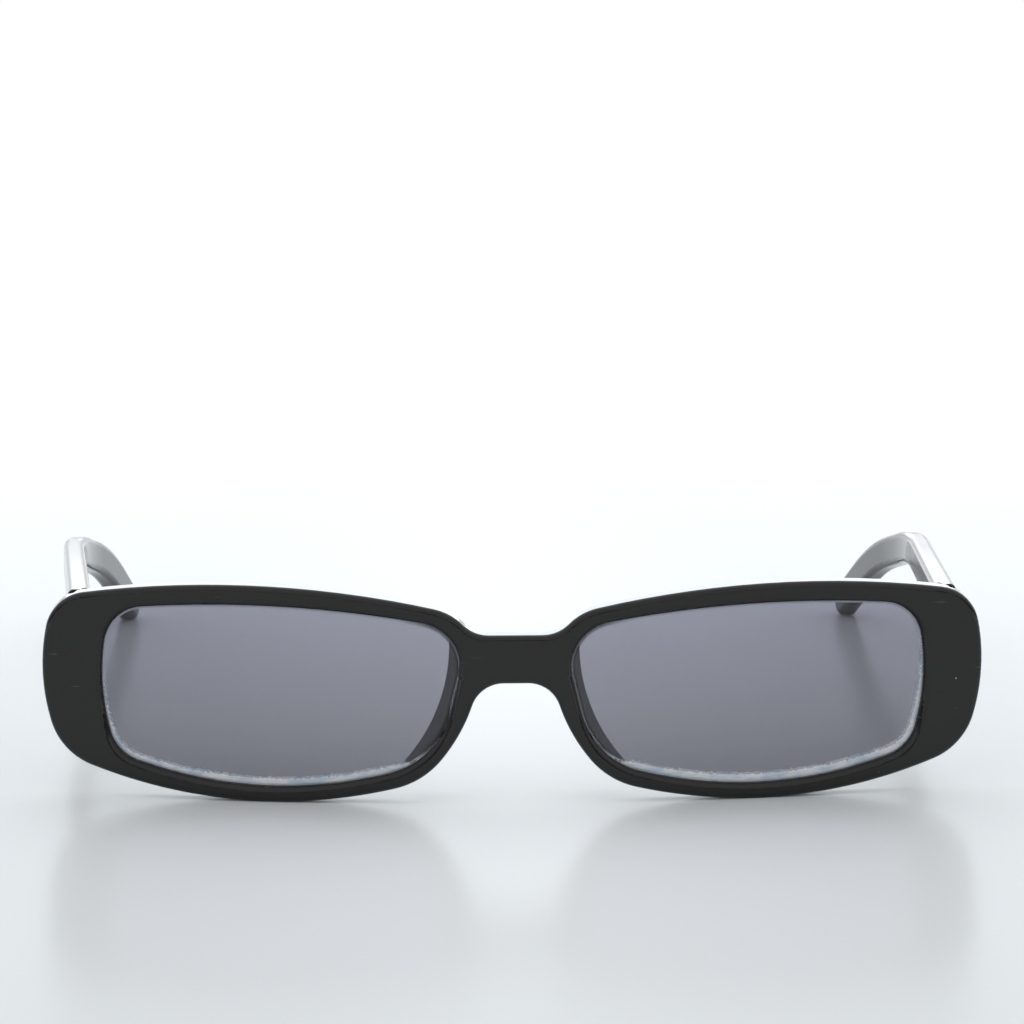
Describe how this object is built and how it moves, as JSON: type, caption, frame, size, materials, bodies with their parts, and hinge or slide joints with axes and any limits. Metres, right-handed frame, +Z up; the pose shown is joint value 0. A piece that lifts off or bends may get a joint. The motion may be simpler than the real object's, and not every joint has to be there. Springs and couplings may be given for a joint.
{
  "type": "narrow rectangle sunglasses",
  "caption": "Narrow rectangular sunglasses with a glossy black plastic front, grey tinted lenses and folding temples on barrel hinges.",
  "frame": {"origin": "on the resting plane, midway between the two sides and midway from the front's face to the temples' tips", "axes": "+X to the wearer's left, +Y from the front back along the open temples, +Z up"},
  "size_m": [0.1478, 0.149, 0.0329],
  "materials": {
    "frame_plastic": "gloss",
    "temple_plastic": "gloss",
    "pad_plastic": "satin",
    "lens_tint": "gloss",
    "hinge_metal": "satin",
    "screw_steel": "satin",
    "core_metal": "satin"
  },
  "bodies": {
    "front": {"front_frame": "frame_plastic", "lens_left": "lens_tint", "lens_right": "lens_tint", "nose_pad_left": "pad_plastic", "nose_pad_right": "pad_plastic", "hinge_front_left": "hinge_metal", "hinge_front_right": "hinge_metal", "hinge_screw_left": "screw_steel", "hinge_screw_right": "screw_steel"},
    "temple_left": {"temple_left": "temple_plastic", "hinge_temple_left": "hinge_metal", "core_wire_left": "core_metal"},
    "temple_right": {"temple_right": "temple_plastic", "hinge_temple_right": "hinge_metal", "core_wire_right": "core_metal"}
  },
  "joints": [
    {"name": "fold_left", "type": "hinge", "parent": "front", "child": "temple_left", "pos_m": [0.06358, -0.06216, 0.02515], "axis": [0, 0, 1], "range_deg": [0, 90]},
    {"name": "fold_right", "type": "hinge", "parent": "front", "child": "temple_right", "pos_m": [-0.06358, -0.06216, 0.02515], "axis": [0, 0, -1], "range_deg": [0, 76]}
  ]
}
